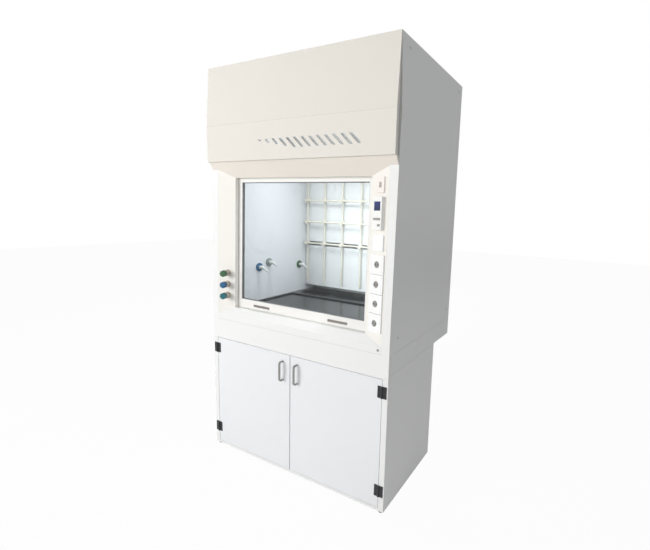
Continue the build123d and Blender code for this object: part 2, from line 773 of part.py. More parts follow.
# Valve knobs: a lobed knob on a stem that runs in its escutcheon
hub_radius = knob_radius - knob_lobe_radius
knob_face = Circle(hub_radius) + [
    Rot(0, 0, 360 * index / knob_lobes) * Pos(hub_radius, 0) * Circle(knob_lobe_radius)
    for index in range(knob_lobes)]
knob = extrude(knob_face, knob_length)
knob = fillet(knob.faces().sort_by(Axis.Z)[-1].edges(), edge_radius / 2)
knob -= Pos(0, 0, knob_length) * Cylinder(hub_radius - 3, edge_radius)
knob = Pos(0, 0, knob_standoff) * knob
knob += Pos(0, 0, (knob_standoff - stem_tail) / 2) * Cylinder(stem_radius,
                                                             knob_standoff + stem_tail)
stem_hole = stem_radius + pin_clearance
boss = revolve(Plane.XZ * make_face(Polyline(
    (stem_hole, 0), (escutcheon_radius, 0), (escutcheon_radius, escutcheon_height - 2),
    (escutcheon_radius - 2, escutcheon_height), (bonnet_radius, escutcheon_height),
    (bonnet_radius, bonnet_height - 2), (bonnet_radius - 2, bonnet_height),
    (stem_hole, bonnet_height), close=True)), Axis.Z)
valve_spots = [on_post(-1, valve_across, height) for height in valve_heights]
parts["escutcheons"] = Compound([spot * boss for spot in valve_spots])
for name, spot in zip(("knob_teal", "knob_blue", "knob_green"), valve_spots):
    parts[name] = spot * knob


# Controls on the right post
def plate(size):
    """Wall plate with rounded corners, standing on a face."""
    body = extrude(RectangleRounded(*size, plate_corner), plate_thickness)
    return fillet(body.faces().sort_by(Axis.Z)[-1].edges(), 1)


socket = plate(socket_size)
rim_face = Rectangle(socket_insert, socket_insert) - Rectangle(socket_insert - 2,
                                                              socket_insert - 2)
socket -= Pos(0, 0, plate_thickness - 1) * extrude(rim_face, plate_thickness)
socket -= Pos(0, 0, plate_thickness) * Cylinder(socket_face_radius, 2 * socket_recess)
pin_floor = plate_thickness - socket_recess - pin_hole_depth
for x in (-pin_spacing / 2, pin_spacing / 2):
    socket -= Pos(x, 0, pin_floor) * extrude(Circle(pin_hole_radius), plate_thickness)
rocker_hole = Rectangle(rocker_size[0] + 2 * button_gap, rocker_size[1] + 2 * button_gap)
switch = plate(switch_size) - Pos(0, 0, 1) * extrude(rocker_hole, plate_thickness)
plates = [on_post(1, control_across, worktop_rim + rise) * socket for rise in socket_rises]
plates.append(on_post(1, control_across, worktop_rim + blank_rise) * plate(blank_size))
switch_spot = on_post(1, control_across, worktop_rim + switch_rise)
plates.append(switch_spot * switch)
parts["post_plates"] = Compound(plates)
rocker_half = rocker_size[1] / 2
rocker_outline = [(-rocker_half, plate_thickness - rocker_depth / 2),
                  (0, plate_thickness - rocker_depth),
                  (rocker_half, plate_thickness - rocker_depth / 2),
                  (rocker_half, plate_thickness + 1), (0, plate_thickness - 0.5),
                  (-rocker_half, plate_thickness + 1)]
rocker = prism_x(rocker_outline, -rocker_size[0] / 2, rocker_size[0] / 2)
rocker_axis = Pos(0, 0, plate_thickness - rocker_depth / 2)
rocker_turn = rocker_axis * Rot(-rocker_tilt, 0, 0) * rocker_axis.inverse()
parts["switch_rocker"] = switch_spot * rocker_turn * rocker

case_spot = on_post(1, control_across, worktop_rim + case_rise)
case = extrude(RectangleRounded(*case_size, case_corner), case_thickness)
case = fillet(case.faces().sort_by(Axis.Z)[-1].edges(), edge_radius)
screen_face = Rectangle(*screen_size)
bar_spot = Pos(0, bar_rise, case_thickness - button_depth)
key_spot = Pos(key_shift, key_rise, case_thickness - button_depth)
case -= Pos(0, screen_rise, case_thickness - screen_thickness) * extrude(screen_face, 9)
for spot, size in ((bar_spot, bar_size), (key_spot, key_size)):
    well = extrude(Rectangle(size[0] + 2 * button_gap, size[1] + 2 * button_gap), 2 * button_depth)
    case -= spot * Pos(0, 0, -button_proud) * well
parts["controller_case"] = case_spot * case
screen = Pos(0, screen_rise, case_thickness - screen_thickness) * extrude(screen_face,
                                                                         screen_thickness - 0.5)
parts["controller_screen"] = case_spot * screen
for name, spot, size in (("controller_bar", bar_spot, bar_size),
                         ("controller_key", key_spot, key_size)):
    button = extrude(Rectangle(*size), button_depth + button_proud)
    button = fillet(button.faces().sort_by(Axis.Z)[-1].edges(), 0.8)
    parts[name] = case_spot * spot * button

# Sash: a framed pane that slides up the lean, in tracks behind the posts
sash_back = sash_front + sash_thickness
sash_foot = up_lean(sill_top, sash_back) + slip
sash_top = sash_foot + sash_height
middle_y = (sash_front + sash_back) / 2
pane_half = sash_half - stile_member
frame = block(-sash_half, sash_half, sash_front, sash_back, sash_foot, sash_top)
frame = fillet(frame.edges().filter_by(Axis.X), edge_radius)
pane_low = sash_foot + rail_height
pane_high = sash_top - stile_member
frame -= block(-pane_half, pane_half, sash_front, sash_back, pane_low, pane_high)
frame -= block(-pane_half - glass_bite - slip, pane_half + glass_bite + slip,
               middle_y - glass_thickness / 2, middle_y + glass_thickness / 2,
               pane_low - glass_bite - slip, pane_high + glass_bite + slip)
pull = block(-pull_width / 2, pull_width / 2, sash_front, sash_front + pull_depth,
             sash_foot + pull_above_edge, sash_foot + pull_above_edge + pull_height)
pull = fillet(pull.edges().filter_by(Axis.Y), pull_height / 2 - 1)
for x in (-pull_offset, pull_offset):
    frame -= Pos(x, 0, 0) * pull
lug_foot = up_lean(lug_bottom, middle_y)
lug = block(sash_half - 1, lug_end, middle_y - lug_thickness / 2,
            middle_y + lug_thickness / 2, lug_foot, lug_foot + lug_height)
parts["sash_frame"] = front * (frame + lug + other_side(lug))
parts["sash_glass"] = front * block(-pane_half - glass_bite, pane_half + glass_bite,
                                    middle_y - glass_thickness / 2,
                                    middle_y + glass_thickness / 2,
                                    pane_low - glass_bite, pane_high + glass_bite)
track_x = sash_half + running_gap
track_plan = [(track_x + track_wall - track_flange, sash_back + running_gap),
              (track_x, sash_back + running_gap), (track_x, sash_front - running_gap),
              (track_x + track_wall - track_flange, sash_front - running_gap)]
track = front * extrude(folded(track_plan, track_wall), tall) - under_sill
track -= block(0, half_width, 0, hood_depth, track_top, 2 * hood_height)
parts["sash_tracks"] = pair(track)

# Sash balance: cross shaft with two grooved wheels, ropes and weights
groove_floor = wheel_radius - rope_radius - slip
half_wheel = wheel_width / 2
groove_half = rope_radius + 1
shaft_outline = [(0, 0), (shaft_radius, 0), (shaft_radius, wheel_x - half_wheel),
                 (rim_radius, wheel_x - half_wheel), (rim_radius, wheel_x - half_wheel + 1),
                 (groove_floor, wheel_x - groove_half), (groove_floor, wheel_x + groove_half),
                 (rim_radius, wheel_x + half_wheel - 1), (rim_radius, wheel_x + half_wheel),
                 (shaft_radius, wheel_x + half_wheel), (shaft_radius, shaft_end), (0, shaft_end)]
front_run_y = leaned_y(middle_y, shaft_height + wheel_radius * lean_sin)
shaft_y = front_run_y + wheel_radius * lean_cos
half_shaft = revolve(Plane.XZ * make_face(Polyline(*shaft_outline, close=True)), Axis.Z)
half_shaft = Pos(0, shaft_y, shaft_height) * Rot(0, 90, 0) * half_shaft
parts["pulley_shaft"] = half_shaft + other_side(half_shaft)
bearing_low = shaft_height - bearing_half
bearing_high = hood_height - top_thickness
bracket = block(bearing_x, bearing_x + bearing_width, shaft_y - bearing_half,
                shaft_y + bearing_half, bearing_low, bearing_high)
bracket = fillet(bracket.edges().filter_by(Axis.X).group_by(Axis.Z)[0], bearing_half / 2)
bracket -= Pos(bearing_x, shaft_y, shaft_height) * Rot(0, 90, 0) * Cylinder(
    shaft_radius + pin_clearance, 4 * bearing_width)
parts["shaft_brackets"] = pair(bracket)

# Ropes in three lengths: over the wheels, in front of them and behind them
tangent_front = (front_run_y, shaft_height + wheel_radius * lean_sin)
rear_run_y = shaft_y + wheel_radius
lug_top = (front * Pos(wheel_x, middle_y, lug_foot + lug_height)).position


def rope(start, end, x):
    """Straight length of rope between two (y, z) points at one x."""
    line = Line((x, *start), (x, *end))
    return sweep(Plane(origin=line @ 0, z_dir=line % 0) * Circle(rope_radius), path=line)


arc = ThreePointArc((wheel_x, *tangent_front), (wheel_x, shaft_y, shaft_height + wheel_radius),
                    (wheel_x, rear_run_y, shaft_height))
arc_rope = sweep(Plane(origin=arc @ 0, z_dir=arc % 0) * Circle(rope_radius), path=arc)
parts["rope_bends"] = pair(arc_rope)
parts["rope_front"] = pair(rope((lug_top.Y, lug_top.Z), tangent_front, wheel_x))
parts["rope_rear"] = pair(rope((rear_run_y, weight_top + weight_eye),
                               (rear_run_y, shaft_height), wheel_x))
weight = block(wheel_x - weight_width / 2, wheel_x + weight_width / 2,
               rear_run_y - weight_depth / 2, rear_run_y + weight_depth / 2,
               weight_top - weight_height, weight_top)
weight = fillet(weight.edges().filter_by(Axis.Z), 3 * edge_radius)
weight += Pos(wheel_x, rear_run_y, weight_top) * extrude(Circle(4 * rope_radius), weight_eye)
parts["counterweights"] = pair(weight)

# The origin is the middle of the floor under the whole outline
front_most = min(shape.bounding_box().min.Y for shape in parts.values())
back_most = max(shape.bounding_box().max.Y for shape in parts.values())
to_middle = Pos(0, -(front_most + back_most) / 2, 0)
for name, shape in parts.items():
    export_step(to_middle * shape, f"parts/{name}.step")
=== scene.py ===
"""Looks of the laboratory fume hood: its paints, boards, glass and small fittings."""

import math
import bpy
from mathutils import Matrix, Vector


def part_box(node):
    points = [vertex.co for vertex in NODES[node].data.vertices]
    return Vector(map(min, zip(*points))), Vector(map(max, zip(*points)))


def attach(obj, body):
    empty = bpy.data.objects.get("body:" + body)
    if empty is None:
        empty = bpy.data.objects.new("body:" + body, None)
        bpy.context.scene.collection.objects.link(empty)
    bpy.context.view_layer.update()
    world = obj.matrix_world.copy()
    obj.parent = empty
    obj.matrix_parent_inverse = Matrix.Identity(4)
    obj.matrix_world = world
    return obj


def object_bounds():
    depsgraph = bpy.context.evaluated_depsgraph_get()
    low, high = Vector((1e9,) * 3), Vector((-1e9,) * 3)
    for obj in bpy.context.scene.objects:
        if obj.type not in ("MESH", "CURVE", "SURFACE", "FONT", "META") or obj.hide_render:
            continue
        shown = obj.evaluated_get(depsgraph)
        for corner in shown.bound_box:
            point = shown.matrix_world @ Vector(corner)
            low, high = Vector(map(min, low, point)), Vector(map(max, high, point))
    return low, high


bl_info = {
    "name": "Fume Hood Looks",
    "version": (1, 0, 0),
    "blender": (4, 5, 0),
    "location": "View3D > Sidebar > Fume Hood",
    "description": "Finishes and small fittings of a laboratory fume hood",
    "category": "Object",
}

import bmesh
import bpy
from bpy.props import FloatProperty, FloatVectorProperty, IntProperty, PointerProperty
from mathutils import Matrix, Vector

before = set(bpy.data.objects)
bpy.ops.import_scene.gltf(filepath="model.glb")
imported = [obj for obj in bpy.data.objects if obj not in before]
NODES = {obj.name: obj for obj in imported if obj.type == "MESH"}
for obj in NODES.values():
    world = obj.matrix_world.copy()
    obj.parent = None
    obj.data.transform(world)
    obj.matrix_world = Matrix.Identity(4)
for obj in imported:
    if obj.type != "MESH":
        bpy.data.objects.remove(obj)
CAD_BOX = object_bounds()

# The sash and the window surround lean back a little about the fold of the sill, which is
# over the front plane of the doors
LEAN = math.radians(1.35)
FRONT_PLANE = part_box("door_left")[0].y
SILL_FOLD = 0.860
LEAN_FOOT = Vector((0.0, FRONT_PLANE, SILL_FOLD))
LEANING = Matrix.Translation(LEAN_FOOT) @ Matrix.Rotation(-LEAN, 4, "X")
FACING_FRONT = Matrix.Rotation(math.radians(90), 4, "X")


# The slanted face of a post, and what sits on the right one
POST_WIDTH = 0.1075
POST_DEPTH = 0.030
CONTROLS_ACROSS = 0.050
SOCKET_HEIGHTS = (0.966, 1.060, 1.153, 1.247)
SOCKET_FLOOR = 0.005
BLUSH_ABOVE = 1.57

# Where the lock sits on the sill, how far the pane goes into its frame, and the film of air
# that keeps added pieces off the solids
LOCK_ACROSS = 0.5375
GLASS_BITE = 0.006
FILM = 0.0002
SHARP = math.radians(35)

# Where the photograph was taken from, and the camera's axes there, worked out from the edges
# of the hood
CAMERA_PLACE = Vector((1.388469, FRONT_PLANE - 1.616302, 1.495381))
CAMERA_RIGHT = Vector((0.87299095, 0.4865946, 0.03335402))
CAMERA_UP = Vector((-0.09824273, 0.10844762, 0.98923581))
CAMERA_AHEAD = Vector((-0.47773964, 0.8668707, -0.14247817))

# Each lamp: its name, the stage's power for it and its part of that, its place, what it faces,
# its size, and how wide its light spreads in degrees
LAMPS = (
    ("Key", "key", 1.0, (-1.9, -5.0, 2.3), (0.0, -0.3, 1.1), (3.4, 2.6), 180.0),
    ("Fill", "fill", 1.0, (2.9, -2.2, 1.5), (0.6, -0.3, 1.35), (1.2, 1.2), 180.0),
    ("Rear", "rear", 1.0, (-3.4, 4.4, 2.4), (0.0, 0.3, 1.3), (2.6, 2.6), 180.0),
    ("Chamber", "inner", 1.0, (0.0, -0.10, 1.985), (0.0, -0.02, 0.9), (0.8, 0.25), 125.0),
    ("Window", "inner", 1 / 3, (0.25, -0.20, 1.25), (-0.3, 0.2, 1.05), (0.5, 0.5), 180.0),
)


def colour(name, text, value):
    """Colour property with its default."""
    return FloatVectorProperty(name=name, description=text, default=value, size=3,
                               min=0.0, max=1.0, subtype="COLOR")


def length(name, text, value):
    """Length property in metres with its default."""
    return FloatProperty(name=name, description=text, default=value, min=0.0,
                         subtype="DISTANCE", unit="LENGTH")


def share(name, text, value):
    """Property from 0 to 1 with its default."""
    return FloatProperty(name=name, description=text, default=value, min=0.0, max=1.0,
                         subtype="FACTOR")


class HoodPaints(bpy.types.PropertyGroup):
    """Colours of the coated sheet metal and the boards."""

    # Painted warm light: the header's warm tint stands for warm light falling on the top of the one
    # white paint.
    header: colour("Header", "Warm white coat of the two fascias", (0.73, 0.70, 0.64))
    # Painted bounce light: the underside is a lighter, warmer copy of the header's paint, for the
    # light bounced up from the floor.
    bevel: colour("Bevel", "Coat of the sloping underside of the header", (0.78, 0.725, 0.65))
    # Painted warm light: the posts' warm tint is a warmer copy of the cabinet's white paint.
    surround: colour("Surround", "Coat of the posts beside the window", (0.85, 0.825, 0.775))
    cabinet: colour("Cabinet", "Coat of the side panels, apron and sill", (0.83, 0.83, 0.815))
    # Painted cool light: the doors' cool tint stands for the cool sky light on the lower front of
    # the one white paint.
    doors: colour("Doors", "Cool white coat of the doors", (0.80, 0.81, 0.825))
    boards: colour("Boards", "Pale board that lines the chamber", (0.86, 0.88, 0.915))
    baffles: colour("Baffles", "Pale board at the back of the chamber", (0.86, 0.875, 0.88))
    worktop: colour("Worktop", "Dark grey solid worktop", (0.010, 0.012, 0.014))
    sheen: share("Sheen", "Roughness of the coats", 0.42)
    # The joint's height is the height of the dark strips that paint the shadow in the joints.
    joint: length("Joint", "Height of the open joint between two panels", 0.0014)
    grain: length("Grain", "Depth of the fine skin of the coats", 0.00005)


class HoodSash(bpy.types.PropertyGroup):
    """Finish of the sliding window."""

    frame_coat: colour("Frame", "Coat of the sash frame", (0.84, 0.83, 0.80))
    gasket: colour("Gasket", "Rubber bead round the pane", (0.15, 0.155, 0.16))
    tint: colour("Tint", "What the pane lets through", (0.955, 0.975, 0.98))
    cup: colour("Pull cups", "Plastic of the finger cups", (0.42, 0.38, 0.345))
    bead_width: length("Bead width", "Width of the gasket in front of the pane", 0.004)
    cup_width: length("Cup width", "Width of the pocket for the fingertips", 0.125)
    cup_height: length("Cup height", "Height of that pocket", 0.014)
    cup_depth: length("Cup depth", "Depth of that pocket", 0.009)
    cup_offset: length("Cup offset", "From the middle to the middle of a pocket", 0.265)
    cup_ahead: length("Cup front", "From the pane to the front of a pocket", 0.0075)
    cup_rise: length("Cup rise", "From the foot of the sash to the pocket", 0.015)
    ribs: IntProperty(name="Ribs", description="Grip ribs in each cup", default=14, min=2)


class HoodFittings(bpy.types.PropertyGroup):
    """Colours and sizes of the hardware."""

    hinge: colour("Hinges", "Black coat of the hinges", (0.016, 0.016, 0.018))
    handle: colour("Handles", "Brushed metal of the handles", (0.34, 0.335, 0.32))
    screw: colour("Screws", "Blackened screws of the hinges", (0.05, 0.05, 0.052))
    lattice: colour("Lattice", "Coated rods and clamps", (0.84, 0.81, 0.70))
    screw_radius: length("Screw radius", "Radius of a hinge screw's head", 0.0023)
    screw_spacing: length("Screw spacing", "Between the two screws of a leaf", 0.036)
    screw_from_edge: length("Screw inset", "From a leaf's outer edge to its screws", 0.0096)
    screw_proud: length("Screw front", "From the doors' front to the screw heads", 0.0026)
    lock_radius: length("Lock radius", "Radius of the lock's rim on the sill", 0.0065)


class HoodControls(bpy.types.PropertyGroup):
    """Colours of the valves, outlets and switchgear."""

    green: colour("Green", "Top knob and rear outlet", (0.04, 0.12, 0.055))
    blue: colour("Blue", "Middle knob and front outlet", (0.02, 0.115, 0.25))
    teal: colour("Teal", "Bottom knob", (0.012, 0.13, 0.15))
    slate: colour("Slate", "Middle outlet", (0.27, 0.32, 0.30))
    plates: colour("Plates", "Plates on the right post", (0.90, 0.90, 0.89))
    case: colour("Case", "Case of the controller", (0.86, 0.86, 0.84))
    screen: colour("Screen", "Display of the controller", (0.004, 0.012, 0.10))
    buttons: colour("Buttons", "Buttons of the controller", (0.33, 0.33, 0.30))
    rocker: colour("Rocker", "Rocker of the switch plate", (0.42, 0.38, 0.36))
    blush: colour("Blush", "Cream pink of the switch plate", (0.86, 0.79, 0.75))
    # Painted shade: this grey stands for the shade inside a socket's sunk face.
    socket: colour("Socket", "Grey face of a socket", (0.27, 0.26, 0.245))
    socket_radius: length("Socket radius", "Radius of a socket's sunk face", 0.0155)
    pin_spacing: length("Pin spacing", "Between the holes of a socket", 0.015)


class HoodStage(bpy.types.PropertyGroup):
    """Camera, lamps and floor."""

    lens: FloatProperty(name="Lens", description="Focal length for a 36 mm wide sensor",
                        default=22.194, min=1.0)
    shift_x: FloatProperty(name="Shift X", description="Sideways shift of the frame",
                           default=-0.0741)
    shift_y: FloatProperty(name="Shift Y", description="Upward shift of the frame",
                           default=-0.0100)
    key: FloatProperty(name="Key light", description="Power of the large soft lamp in front",
                       default=224.0, min=0.0, unit="POWER")
    fill: FloatProperty(name="Fill light", description="Power of the lamp on the right side",
                        default=12.0, min=0.0, unit="POWER")
    rear: FloatProperty(name="Rear light", description="Power of the lamp behind the hood",
                        default=110.0, min=0.0, unit="POWER")
    inner: FloatProperty(name="Chamber light", description="Power of the lamp under the ceiling",
                         default=3.4, min=0.0, unit="POWER")
    sky: FloatProperty(name="Sky", description="Strength of the even light all round",
                       default=0.24, min=0.0)
    paper: share("Paper", "How much of the floor shows as plain background", 0.965)


class Value:
    """A number that a node gives. Sums and products of it add Math nodes to its finish."""

    def __init__(self, finish, socket):
        self.finish = finish
        self.socket = socket

    def maths(self, operation, *values):
        return self.finish.add("ShaderNodeMath", {"operation": operation},
                               dict(enumerate(values)))

    def __add__(self, other):
        return self.maths("ADD", self, other)

    __radd__ = __add__

    def __sub__(self, other):
        return self.maths("SUBTRACT", self, other)

    def __rsub__(self, other):
        return self.maths("SUBTRACT", other, self)

    def __mul__(self, other):
        return self.maths("MULTIPLY", self, other)

    __rmul__ = __mul__

    def __truediv__(self, other):
        return self.maths("DIVIDE", self, other)

    def __pow__(self, other):
        return self.maths("POWER", self, other)

    def __gt__(self, other):
        return self.maths("GREATER_THAN", self, other)

    def larger(self, other):
        return self.maths("MAXIMUM", self, other)

    def within(self):
        return self.maths("MINIMUM", self.maths("MAXIMUM", self, 0.0), 1.0)


class Finish:
    """A node tree that is being filled: a material's, or the world's."""

    def __init__(self, name, owner=None):
        self.owner = owner or bpy.data.materials.new(name)
        self.owner.use_nodes = True
        self.tree = self.owner.node_tree
        self.tree.nodes.clear()

    def add(self, kind, settings=None, values=None, output=0):
        """Add a node: its settings first, then its sockets' values or links. Gives an output."""
        node = self.tree.nodes.new(kind)
        for key, setting in (settings or {}).items():
            if key == "stops":
                self.set_stops(node.color_ramp, setting)
            else:
                setattr(node, key, setting)
        for key, value in (values or {}).items():
            if isinstance(value, Value):
                self.tree.links.new(value.socket, node.inputs[key])
            else:
                node.inputs[key].default_value = value
        return Value(self, node.outputs[output]) if len(node.outputs) else None

    @staticmethod
    def set_stops(ramp, stops):
        """Set a ramp's stops from (place, colour) pairs."""
        while len(ramp.elements) < len(stops):
            ramp.elements.new(1.0)
        for element, (place, shade) in zip(ramp.elements, stops):
            element.position = place
            element.color = (*shade, 1.0)

    def place(self):
        """Where a point of the surface is, in metres."""
        return self.add("ShaderNodeTexCoord", output="Object")

    def along(self, axis):
        """One coordinate of the surface."""
        return self.add("ShaderNodeSeparateXYZ", values={0: self.place()}, output=axis)

    def stretched(self, x, y, z):
        """The surface's place, with each axis scaled."""
        return self.add("ShaderNodeVectorMath", {"operation": "MULTIPLY"},
                        {0: self.place(), 1: (x, y, z)})

    def noise(self, scale, detail=2.0, rough=0.5, place=None):
        """Noise from 0 to 1 with so many cells to a metre."""
        return self.add("ShaderNodeTexNoise", {"noise_dimensions": "3D"},
                        {"Vector": place or self.place(), "Scale": scale, "Detail": detail,
                         "Roughness": rough})

    def blend(self, amount, first, second):
        """Mix of two colours, plain or from nodes."""
        first, second = ((*c, 1.0) if not isinstance(c, Value) else c for c in (first, second))
        return self.add("ShaderNodeMix", {"data_type": "RGBA"},
                        {0: amount, 6: first, 7: second}, output=2)

    def bump(self, height, distance, strength=1.0):
        """Surface normal from a height."""
        return self.add("ShaderNodeBump", values={"Height": height, "Distance": distance,
                                                  "Strength": strength}, output="Normal")

    def surface(self, **values):
        """Principled surface from its sockets, with _ for a space, joined to the output."""
        made = self.shader(**values)
        self.add("ShaderNodeOutputMaterial", values={"Surface": made})
        return self.owner

    def shader(self, **values):
        """Principled shader from its sockets, with _ for a space."""
        sockets = {key.replace("_", " "): value for key, value in values.items()}
        for key, value in sockets.items():
            if key.endswith("Color") and not isinstance(value, Value):
                sockets[key] = (*value, 1.0)
        return self.add("ShaderNodeBsdfPrincipled", values=sockets)


def scaled(shade, factor):
    """A colour made lighter or darker."""
    return tuple(min(1.0, channel * factor) for channel in shade)


def powder_coat(name, shade, rough, depth):
    """Sheet steel with a powder coat: a fine orange-peel skin and a faint drift of tone."""
    coat = Finish(name)
    drift = coat.noise(1.6, detail=3.0)
    dust = coat.noise(14.0, detail=5.0, rough=0.6)
    tone = (drift * 0.7 + dust * 0.3 - 0.25).within()
    skin = coat.noise(420.0, detail=2.0)
    speck = coat.noise(1500.0, detail=1.0)
    return coat.surface(
        Base_Color=coat.blend(tone, scaled(shade, 0.965), scaled(shade, 1.02)),
        Roughness=rough - 0.05 + dust * 0.12,
        Coat_Weight=0.12, Coat_Roughness=0.3,
        Normal=coat.bump(skin + speck * 0.35, depth, 0.6))


def moulded(name, shade, rough, grain=900.0, depth=0.00002):
    """Moulded plastic: an even colour with a fine satin texture."""
    plastic = Finish(name)
    cloud = plastic.noise(22.0, detail=3.0)
    skin = plastic.noise(grain, detail=2.0)
    return plastic.surface(
        Base_Color=plastic.blend(cloud, scaled(shade, 0.94), scaled(shade, 1.05)),
        Roughness=rough - 0.04 + cloud * 0.1,
        Specular_IOR_Level=0.5,
        Normal=plastic.bump(skin, depth, 0.5))


def board(name, shade, rough):
    """Chemical-resistant board: a hard satin face with faint wipe marks."""
    face = Finish(name)
    wipes = face.noise(3.0, detail=5.0, rough=0.65, place=face.stretched(1.0, 1.0, 0.35))
    pores = face.noise(700.0, detail=2.0)
    tone = (wipes * 1.3 - 0.15).within()
    return face.surface(
        Base_Color=face.blend(tone, scaled(shade, 0.955), scaled(shade, 1.02)),
        Roughness=rough - 0.06 + wipes * 0.16,
        Normal=face.bump(pores, 0.00003, 0.5))


def brushed(name, shade, rough, stretch):
    """Brushed metal with its lines along the least stretched axis."""
    metal = Finish(name)
    lines = metal.noise(1.0, detail=3.0, rough=0.7, place=metal.stretched(*stretch))
    smear = metal.noise(30.0, detail=3.0)
    return metal.surface(
        Base_Color=metal.blend(lines, scaled(shade, 0.82), scaled(shade, 1.12)),
        Metallic=1.0,
        Roughness=rough - 0.07 + smear * 0.1 + lines * 0.08,
        Normal=metal.bump(lines, 0.00002, 0.6))


def zinc(name, shade):
    """Zinc-coated steel with its grey spangle."""
    metal = Finish(name)
    cells = metal.add("ShaderNodeTexVoronoi", {"feature": "F1"},
                      {"Vector": metal.place(), "Scale": 55.0}, output="Distance")
    cloud = metal.noise(6.0, detail=4.0)
    tone = (cells * 0.9 + cloud * 0.4 - 0.2).within()
    return metal.surface(
        Base_Color=metal.blend(tone, scaled(shade, 0.8), scaled(shade, 1.12)),
        Metallic=0.85, Roughness=0.34 + tone * 0.18,
        Normal=metal.bump(cells, 0.00003, 0.4))


def black_coat(name, shade):
    """Black coat of the hinges, worn a little grey in patches."""
    coat = Finish(name)
    wear = coat.noise(160.0, detail=4.0, rough=0.7)
    rub = (wear * 3.2 - 1.75).within()
    skin = coat.noise(900.0)
    return coat.surface(
        Base_Color=coat.blend(rub * 0.5, shade, scaled(shade, 3.2)),
        Roughness=0.4 + wear * 0.15,
        Normal=coat.bump(skin, 0.00003, 0.6))


def cast_iron(name):
    """Rough dark casting."""
    iron = Finish(name)
    lumps = iron.noise(130.0, detail=6.0, rough=0.65)
    rust = (iron.noise(9.0, detail=5.0) * 3.0 - 1.7).within()
    return iron.surface(
        Base_Color=iron.blend(rust, (0.035, 0.035, 0.037), (0.10, 0.055, 0.032)),
        Metallic=0.4, Roughness=0.6 + lumps * 0.2,
        Normal=iron.bump(lumps, 0.0004, 0.7))


def rubber(name, shade):
    """Matt black rubber, also the dark surface of the strips, blocks and discs that paint shade."""
    gum = Finish(name)
    bloom = gum.noise(60.0, detail=4.0)
    return gum.surface(
        Base_Color=gum.blend(bloom, shade, scaled(shade, 1.8)),
        Roughness=0.72 + bloom * 0.15,
        Normal=gum.bump(gum.noise(1200.0), 0.00004, 0.5))


def solid_top(name, shade):
    """Dark solid worktop: a fine fleck in the body and soft rubbed patches on the face."""
    stone = Finish(name)
    fleck = (stone.noise(520.0, detail=3.0, rough=0.7) * 4.0 - 2.3).within()
    cloud = stone.noise(5.0, detail=5.0, rough=0.6)
    body = stone.blend(cloud, scaled(shade, 0.86), scaled(shade, 1.2))
    return stone.surface(
        Base_Color=stone.blend(fleck * 0.55, body, scaled(shade, 3.0)),
        Roughness=0.13 + cloud * 0.12, Specular_IOR_Level=0.34,
        Normal=stone.bump(stone.noise(260.0, detail=3.0), 0.00005, 0.5))


def clear_glass(name, tint):
    """Safety glass: it passes light and shines more towards a glancing view."""
    pane = Finish(name)
    facing = pane.add("ShaderNodeLayerWeight", values={"Blend": 0.5}, output="Facing")
    wave = pane.noise(2.5, detail=1.0)
    clear = pane.add("ShaderNodeBsdfTransparent", values={"Color": (*tint, 1.0)})
    shine = pane.shader(Base_Color=(0.96, 0.98, 1.0), Metallic=1.0, Roughness=0.03,
                        Normal=pane.bump(wave, 0.0006, 0.3))
    mixed = pane.add("ShaderNodeMixShader",
                     values={0: 0.02 + 0.96 * facing ** 5.0, 1: clear, 2: shine})
    pane.add("ShaderNodeOutputMaterial", values={"Surface": mixed})
    return pane.owner


def ribbed_lens(name):
    """Opal lamp cover with fine ribs across it, with painted shade between the ribs and painted
    highlights on them.
    """
    lens = Finish(name)
    ribs = lens.add("ShaderNodeTexWave", {"bands_direction": "X"},
                    {"Vector": lens.place(), "Scale": 60.0, "Distortion": 0.0})
    # Painted shade and highlight: the colour follows the ribs' relief, darker between them and
    # lighter on them.
    return lens.surface(
        Base_Color=lens.blend(ribs, (0.86, 0.88, 0.88), (0.95, 0.96, 0.96)),
        Roughness=0.25, Emission_Color=(1.0, 0.98, 0.94), Emission_Strength=0.5,
        Normal=lens.bump(ribs, 0.0006, 0.6))


def wire_rope(name):
    """Steel rope, its strands laid round it, with painted shade in the grooves between them and
    painted highlights on their crowns.
    """
    rope = Finish(name)
    strands = rope.add("ShaderNodeTexWave", {"bands_direction": "DIAGONAL"},
                       {"Vector": rope.place(), "Scale": 220.0, "Distortion": 0.4})
    # Painted shade and highlight: the colour follows the strands' relief, darker in the grooves and
    # lighter on the crowns.
    return rope.surface(
        Base_Color=rope.blend(strands, (0.16, 0.16, 0.165), (0.5, 0.5, 0.5)),
        Metallic=1.0, Roughness=0.32 + strands * 0.15,
        Normal=rope.bump(strands, 0.0003, 0.8))


def coded_plastic(name, front, middle, rear):
    """Plastic of the three outlets, its colour set by how deep in the chamber each one is."""
    plastic = Finish(name)
    depth = plastic.along("Y")
    first_gap, second_gap = outlet_gaps()
    near = plastic.blend(depth > first_gap, front, middle)
    shade = plastic.blend(depth > second_gap, near, rear)
    cloud = plastic.noise(60.0, detail=3.0)
    return plastic.surface(
        Base_Color=shade, Roughness=0.26 + cloud * 0.12,
        Normal=plastic.bump(plastic.noise(900.0), 0.00002, 0.4))


def display(name, shade):
    """Dark blue display behind a glossy window, a little lighter towards its top as a painted
    reflection of the light above.
    """
    glass = Finish(name)
    low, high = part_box("controller_screen")
    # Painted reflection: the screen is lighter towards its top.
    rise = ((glass.along("Z") - low.z) / (high.z - low.z)).within()
    return glass.surface(
        Base_Color=glass.blend(rise, scaled(shade, 0.6), scaled(shade, 1.5)),
        Roughness=0.08 + glass.noise(40.0) * 0.06, Coat_Weight=0.5, Coat_Roughness=0.04)


